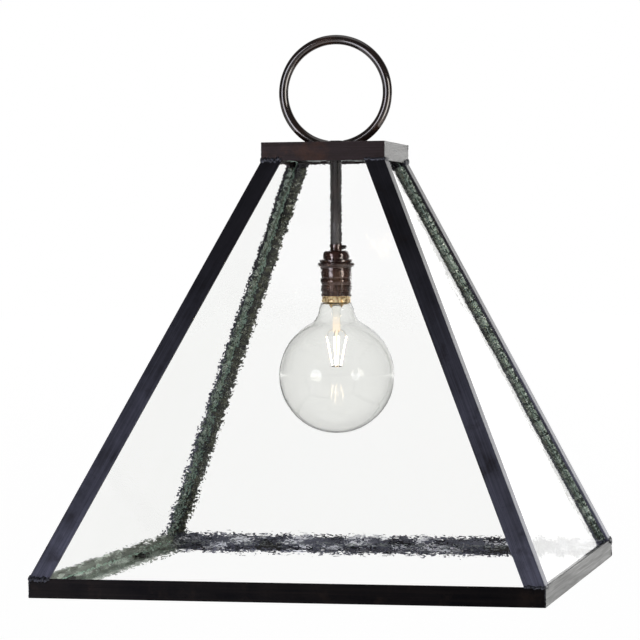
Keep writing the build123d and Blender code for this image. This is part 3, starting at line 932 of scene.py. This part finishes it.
# Lampholder: bell, collar and skirt, with a knurled rim, rolled grooves and a rolled thread.
bell_profile = (
    [(HUB_BORE, HUB_TOP), (0.0064, HUB_TOP), (0.0067, HUB_TOP - 0.0004), (0.0067, DOME_TOP + 0.0006)]
    + arc((0.0073, DOME_TOP + 0.0006), 0.0006, 180, 270, 4)
    + arc((0.0108, DOME_TOP - 0.0034), 0.0034, 90, 0, 10)
    + [(0.0142, DOME_BOTTOM + 0.0022), (0.0142, DOME_BOTTOM), (BELL_BORE, DOME_BOTTOM)]
    + [(BELL_BORE, DOME_TOP - 0.0036)]
    + arc((0.0108, DOME_TOP - 0.0034), 0.0026, 0, 90, 8)
    + [(HUB_BORE, DOME_TOP - 0.0008)]
)
bell = lathe("bell", bell_profile, 96, holder_bronze, "lantern")
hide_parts("holder_cap")


def knurl(r, z, angle):
    """Shallow ribs round the collar's widest band."""
    if r > 0.0190:
        r -= 0.00035 * (0.5 + 0.5 * math.cos(56 * angle))
    return r, z


collar_profile = [
    (BELL_BORE, DOME_BOTTOM),
    (0.0156, DOME_BOTTOM),
    (0.0172, DOME_BOTTOM - 0.0005),
    (0.0179, DOME_BOTTOM - 0.0011),
    (0.0179, DOME_BOTTOM - 0.0028),
    (0.0174, DOME_BOTTOM - 0.0034),
    (0.0175, DOME_BOTTOM - 0.0037),
    (0.0192, DOME_BOTTOM - 0.0041),
    (0.0196, DOME_BOTTOM - 0.0047),
    (0.0196, DOME_BOTTOM - 0.0068),
    (0.0192, DOME_BOTTOM - 0.0074),
    (0.0179, DOME_BOTTOM - 0.0080),
    (0.0177, DOME_BOTTOM - 0.0086),
    (0.0171, COLLAR_BOTTOM + 0.0001),
    (SKIRT_BORE, COLLAR_BOTTOM),
    (SKIRT_BORE, DOME_BOTTOM - 0.0008),
    (BELL_BORE, DOME_BOTTOM - 0.0008),
]
collar = lathe("collar", collar_profile, 224, holder_bronze, "lantern", True, knurl)
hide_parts("holder_collar")


def skirt_profile():
    """The skirt's outside, from the collar down, then its inside."""
    outer = SKIRT_OUTER
    points = [(outer, COLLAR_BOTTOM), (outer, COLLAR_BOTTOM - 0.0096)]
    for drop in (0.0110, 0.0187):
        centre = COLLAR_BOTTOM - drop
        points += [
            (outer, centre + 0.0011),
            (outer - 0.0002, centre + 0.0007),
            (outer - 0.00055, centre + 0.0002),
            (outer - 0.00055, centre - 0.0002),
            (outer - 0.0002, centre - 0.0007),
            (outer, centre - 0.0011),
        ]
    turns = 6
    start = COLLAR_BOTTOM - 0.0204
    pitch = 0.0015
    for i in range(turns * 6 + 1):
        phase = 2 * math.pi * i / 6
        points.append((outer - 0.00022 + 0.00022 * math.cos(phase), start - pitch * i / 6))
    points += [
        (outer, SKIRT_BOTTOM + 0.0005),
        (outer - 0.0002, SKIRT_BOTTOM),
        (0.0159, SKIRT_BOTTOM),
        (SKIRT_BORE, SKIRT_BOTTOM + 0.0003),
        (SKIRT_BORE, COLLAR_BOTTOM),
    ]
    return points


skirt = lathe("skirt", skirt_profile(), 96, holder_bronze, "lantern", True, None, 60)
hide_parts("holder_skirt")


# Set screw in the holder's hub, with a knurled head.
def set_screw():
    """The screw, turned about Z and then laid along X in the hub."""
    sides = 40
    profile = [(0.0, SLEEVE_BORE), (0.00145, SLEEVE_BORE), (0.00145, 0.0068), (0.0023, 0.0068)]
    profile += [(0.0023, 0.0104), (0.0018, 0.0110), (0.0009, 0.0110), (0.0007, 0.0105), (0.0, 0.0105)]

    def ribs(r, x, angle):
        """Every second side of the head is a little lower."""
        if r > 0.002:
            r -= 0.00014 * (round(angle * sides / (2 * math.pi)) % 2)
        return r, x

    piece = lathe("thumb_screw", profile, sides, stem_bronze, "lantern", False, ribs, 40)
    middle = HUB_TOP - 0.00375
    piece.data.transform(Matrix(((0, 0, 1, 0), (1, 0, 0, 0), (0, 1, 0, middle), (0, 0, 0, 1))))
    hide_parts("holder_set_screw")


set_screw()


# Lamp: one blown glass envelope, its cap, the glass mount, the filaments and their wires.
GLOBE_RADIUS = 0.0625
NECK_RADIUS = 0.0189
MOUTH_RADIUS = 0.0148
BLEND_RADIUS = 0.0200
NECK_TAPER = 0.0022
ENVELOPE_WALL = 0.0008
LAMP_PITCH = 0.0036
GLOBE_CENTRE = CAP_SKIRT_BOTTOM - 0.0789
BLEND_REACH = math.sqrt((GLOBE_RADIUS + BLEND_RADIUS) ** 2 - (NECK_RADIUS + BLEND_RADIUS) ** 2)
NECK_BOTTOM = GLOBE_CENTRE + BLEND_REACH


def envelope_line(inset):
    """The outline of the lamp glass from its foot to its mouth, drawn inwards by inset."""
    globe = GLOBE_RADIUS - inset
    neck = NECK_RADIUS - inset
    mouth = MOUTH_RADIUS - inset
    lift = math.degrees(math.atan2(BLEND_REACH, NECK_RADIUS + BLEND_RADIUS))
    line = arc((0, GLOBE_CENTRE), globe, -90, lift, 72)
    line[0] = (0.0, line[0][1])
    line += arc((NECK_RADIUS + BLEND_RADIUS, NECK_BOTTOM), BLEND_RADIUS + inset, 180 + lift, 180, 14)[1:]
    shoulder_foot = CAP_SKIRT_BOTTOM - 0.0022 - inset / 2
    shoulder_top = CAP_SKIRT_BOTTOM - 0.0003 - inset
    throat = neck - NECK_TAPER
    for i in range(1, 9):
        share = i / 8
        line.append((neck - NECK_TAPER * share**0.8, NECK_BOTTOM + (shoulder_foot - NECK_BOTTOM) * share))
    for i in range(1, 9):
        a = math.radians(90 * i / 8)
        line.append(
            (
                mouth + (throat - mouth) * math.cos(a),
                shoulder_foot + (shoulder_top - shoulder_foot) * math.sin(a),
            )
        )
    line.append((mouth, CAP_SKIRT_BOTTOM + 0.0056))
    return line


outer_line = envelope_line(0.0)
inner_line = envelope_line(ENVELOPE_WALL)
globe = lathe("globe", outer_line + list(reversed(inner_line)), 128, lamp_glass, "lamp", False, None, 70)
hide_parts("lamp_globe")


def cap_outline():
    """The lamp cap: a plain skirt, then a rolled thread up to its shoulder."""
    points = [(0.0150, CAP_SKIRT_BOTTOM), (0.0154, CAP_SKIRT_BOTTOM), (0.0154, LAMP_TOP - 0.0006)]
    points += [(0.0148, LAMP_TOP), (0.0131, LAMP_TOP)]
    steps = 30
    for i in range(steps + 1):
        z = LAMP_TOP + 0.0004 + 0.0160 * i / steps
        points.append((0.0127 + 0.0004 * math.cos(2 * math.pi * (z - LAMP_TOP) / LAMP_PITCH), z))
    points += [(0.0121, LAMP_TOP + 0.0180), (0.0117, LAMP_TOP + 0.0180), (0.0117, LAMP_TOP + 0.0170)]
    points += [(0.0121, LAMP_TOP + 0.0160), (0.0121, LAMP_TOP - 0.0004), (0.0150, LAMP_TOP - 0.0004)]
    return points


cap_piece = lathe("brass_cap", cap_outline(), 96, brass_painted_glow.material, "lamp", True, None, 50)
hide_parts("lamp_cap")

FILAMENT_TOP = CAP_SKIRT_BOTTOM - 0.037
TOP_SPREAD = 0.0110
FOOT_SPREAD = 0.0046
FILAMENT_LENGTH = 0.0316
FILAMENT_RADIUS = 0.0006
WIRE_RADIUS = 0.0003
FILAMENT_FOOT = FILAMENT_TOP - math.sqrt(FILAMENT_LENGTH**2 - (TOP_SPREAD - FOOT_SPREAD) ** 2)

mount_line = [(0.0, CAP_SKIRT_BOTTOM + 0.0040), (0.0134, CAP_SKIRT_BOTTOM + 0.0040)]
mount_line += [(0.0134, CAP_SKIRT_BOTTOM + 0.0030), (0.0110, CAP_SKIRT_BOTTOM + 0.0004)]
mount_line += [(0.0070, CAP_SKIRT_BOTTOM - 0.0040), (0.0047, CAP_SKIRT_BOTTOM - 0.0070)]
mount_line += [(0.0042, CAP_SKIRT_BOTTOM - 0.0100), (0.0042, FILAMENT_TOP + 0.0064)]
mount_line += [(0.0034, FILAMENT_TOP + 0.0050), (0.0019, FILAMENT_TOP + 0.0042)]
mount_line += [(0.0015, FILAMENT_TOP + 0.0030), (0.0015, FILAMENT_FOOT - 0.0014)]
mount_line += [(0.0010, FILAMENT_FOOT - 0.0020), (0.0, FILAMENT_FOOT - 0.0021)]
mount = lathe("glass_mount", mount_line, 40, mount_glass, "lamp", False, None, 60)
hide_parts("lamp_mount_stem")

for number in range(4):
    a = math.pi / 2 * number
    out = Vector((math.cos(a), math.sin(a), 0))
    top = out * TOP_SPREAD + Vector((0, 0, FILAMENT_TOP))
    foot = out * FOOT_SPREAD + Vector((0, 0, FILAMENT_FOOT))
    strip = rod(
        f"filament_{number + 1}",
        [top.lerp(foot, t) for t in (0.0, 0.02, 0.5, 0.98, 1.0)],
        FILAMENT_RADIUS,
        12,
        filament_glow.material,
        "lamp",
        0.8,
    )
    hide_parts(f"lamp_filament_{number + 1}")
    joint = out * 0.0046 + Vector((0, 0, FILAMENT_TOP + 0.0074))
    bend = out * 0.0085 + Vector((0, 0, FILAMENT_TOP + 0.0052))
    path = [joint, joint.lerp(bend, 0.6), bend, top]
    wire = rod(f"lead_wire_{number + 1}", path, WIRE_RADIUS, 8, bright_wire, "lamp")
    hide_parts("lamp_lead_wires")

hub_line = [(0.00155, FILAMENT_FOOT - 0.0018), (0.0052, FILAMENT_FOOT - 0.0018)]
hub_line += [(0.0054, FILAMENT_FOOT - 0.0014), (0.0052, FILAMENT_FOOT - 0.0010)]
hub_line += [(0.00155, FILAMENT_FOOT - 0.0010)]
hub = lathe("filament_hub", hub_line, 40, bright_wire, "lamp")
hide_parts("lamp_filament_hub")


# Floor, light and camera.
FLOOR_SIZE = 60.0
FLOOR_LEVEL = -0.75


def seen_directly(tree):
    """1 for the camera's rays, also those that come through glass alone, and 0 for any other."""
    path = tree.nodes.new("ShaderNodeLightPath")
    value = path.outputs["Is Transmission Ray"]
    for depth in ("Glossy Depth", "Diffuse Depth"):
        value = calculate(tree, "MULTIPLY", value, calculate(tree, "LESS_THAN", path.outputs[depth]))
    return calculate(tree, "MAXIMUM", path.outputs["Is Camera Ray"], value)


def seen_in_gloss(tree):
    """1 for rays that a shiny face sent on, also those that then came through glass."""
    path = tree.nodes.new("ShaderNodeLightPath")
    shiny = calculate(tree, "GREATER_THAN", path.outputs["Glossy Depth"])
    return calculate(tree, "MULTIPLY", shiny, calculate(tree, "LESS_THAN", path.outputs["Diffuse Depth"]))


def floor():
    """A wide pale floor well below the hanging lantern, and as bright as the backdrop far behind it."""
    mesh = bpy.data.meshes.new("floor")
    square = ((-1, -1), (1, -1), (1, 1), (-1, 1))
    mesh.from_pydata([(x * FLOOR_SIZE, y * FLOOR_SIZE, FLOOR_LEVEL) for x, y in square], [], [(0, 1, 2, 3)])
    s = Shader("floor")
    seen = seen_directly(s.tree)
    s.finish({"Roughness": 0.9, "Base Color": s.mix(seen, (0.9, 0.9, 0.9), (0.14, 0.14, 0.14))})
    # Shiny pieces mirror a floor that is dark near the lantern and pale from 20 m behind it.
    mirrored = s.spread(axes(s.tree, s.coords)[1], 8.0, 20.0, 0.03, 0.9)
    shiny = calculate(s.tree, "MULTIPLY", seen_in_gloss(s.tree), mirrored)
    direct = s.spread(seen, 0.0, 1.0, 0.0, 0.93)
    glow = shading(s.tree, "ShaderNodeEmission", WHITE, calculate(s.tree, "MAXIMUM", direct, shiny))
    mesh.materials.append(s.show(shading(s.tree, "ShaderNodeAddShader", s.surface.outputs[0], glow)))
    piece = bpy.data.objects.new("floor", mesh)
    scene.collection.objects.link(piece)


# Name, place, width, height, power and colour of the two soft lamps in front.
SOFTBOXES = (
    ("softbox_left", (-1.31, -2.25, 0.22), 1.15, 2.2, 30.0, (0.90, 0.91, 1.0)),
    ("softbox_right", (2.11, -1.52, 0.22), 1.3, 2.2, 36.0, (1.0, 0.97, 0.90)),
)


def softbox_image(tree, direction, softbox):
    """A softbox as the shiny pieces behind the panes mirror it. The lamps themselves don't show there."""
    _, place, width, tall, power, colour = softbox
    away = Vector(place[:2]).length
    towards = combine(tree, "DOT_PRODUCT", direction, (place[0] / away, place[1] / away, 0.0))
    edge = math.cos(math.atan(width / 2 / away))
    across = ranged(tree, towards, (edge - 0.003, edge + 0.003, 0.0, 1.0))
    height = calculate(tree, "ABSOLUTE", axes(tree, direction)[2])
    reach = math.sin(math.atan(tall / 2 / away))
    total = ranged(tree, height, (reach - 0.01, reach + 0.01, power / (math.pi * width * tall), 0.0))
    path = tree.nodes.new("ShaderNodeLightPath")
    behind_glass = calculate(tree, "GREATER_THAN", path.outputs["Transmission Depth"])
    for factor in (across, behind_glass, seen_in_gloss(tree)):
        total = calculate(tree, "MULTIPLY", total, factor)
    return shading(tree, "ShaderNodeBackground", opaque(colour), total)


def world():
    """White where the camera looks or looks through glass, a studio's light elsewhere."""
    made = bpy.data.worlds.new("studio")
    scene.world = made
    made.use_nodes = True
    tree = made.node_tree
    tree.nodes.clear()
    direction = tree.nodes.new("ShaderNodeTexCoord").outputs["Generated"]
    # A pale backdrop behind the lantern and a weaker opening over it.
    behind = ranged(tree, axes(tree, direction)[1], (0.5, 0.92, 0.05, 0.9), True)
    above = ranged(tree, axes(tree, direction)[2], (0.82, 0.98, 0.05, 0.6), True)
    around = shading(tree, "ShaderNodeBackground", WHITE, calculate(tree, "MAXIMUM", behind, above))
    for softbox in SOFTBOXES:
        around = shading(tree, "ShaderNodeAddShader", around, softbox_image(tree, direction, softbox))
    white = shading(tree, "ShaderNodeBackground", WHITE, 1.0)
    mixed = shading(tree, "ShaderNodeMixShader", seen_directly(tree), around, white)
    tree.links.new(mixed, tree.nodes.new("ShaderNodeOutputWorld").inputs["Surface"])


def lamp(name, place, target, width, height, power, colour):
    """A soft rectangular lamp at a place, aimed at a target. It doesn't show, also not through glass."""
    data = bpy.data.lights.new(name, "AREA")
    data.shape = "RECTANGLE"
    data.size = width
    data.size_y = height
    data.energy = power
    data.color = colour
    made = bpy.data.objects.new(name, data)
    made.location = place
    made.rotation_euler = (Vector(target) - Vector(place)).to_track_quat("-Z", "Y").to_euler()
    made.visible_camera = False
    made.visible_transmission = False
    scene.collection.objects.link(made)


floor()
world()
for name, place, *rest in SOFTBOXES:
    lamp(name, place, (0, 0, place[2]), *rest)
lamp("behind_right", (0.75, 2.6, 0.15), (0.1, 0, 0.25), 1.2, 1.7, 7.0, (1.0, 1.0, 0.98))

# Camera: fitted to the corners of the frame in the photo.
camera_data = bpy.data.cameras.new("camera")
camera_data.sensor_width = 36.0
camera_data.lens = 170.153
camera = bpy.data.objects.new("camera", camera_data)
scene.collection.objects.link(camera)
view_right = Vector((0.97648917, 0.21549953, -0.00537078))
view_up = Vector((0.00125605, 0.01922631, 0.99981437))
view_back = Vector((0.21556279, -0.97631465, 0.01850361))
camera_place = Matrix((view_right, view_up, view_back)).transposed().to_4x4()
camera_place.translation = Vector((0.68795567, -3.19935554, 0.33820429))
camera.matrix_world = camera_place
scene.camera = camera
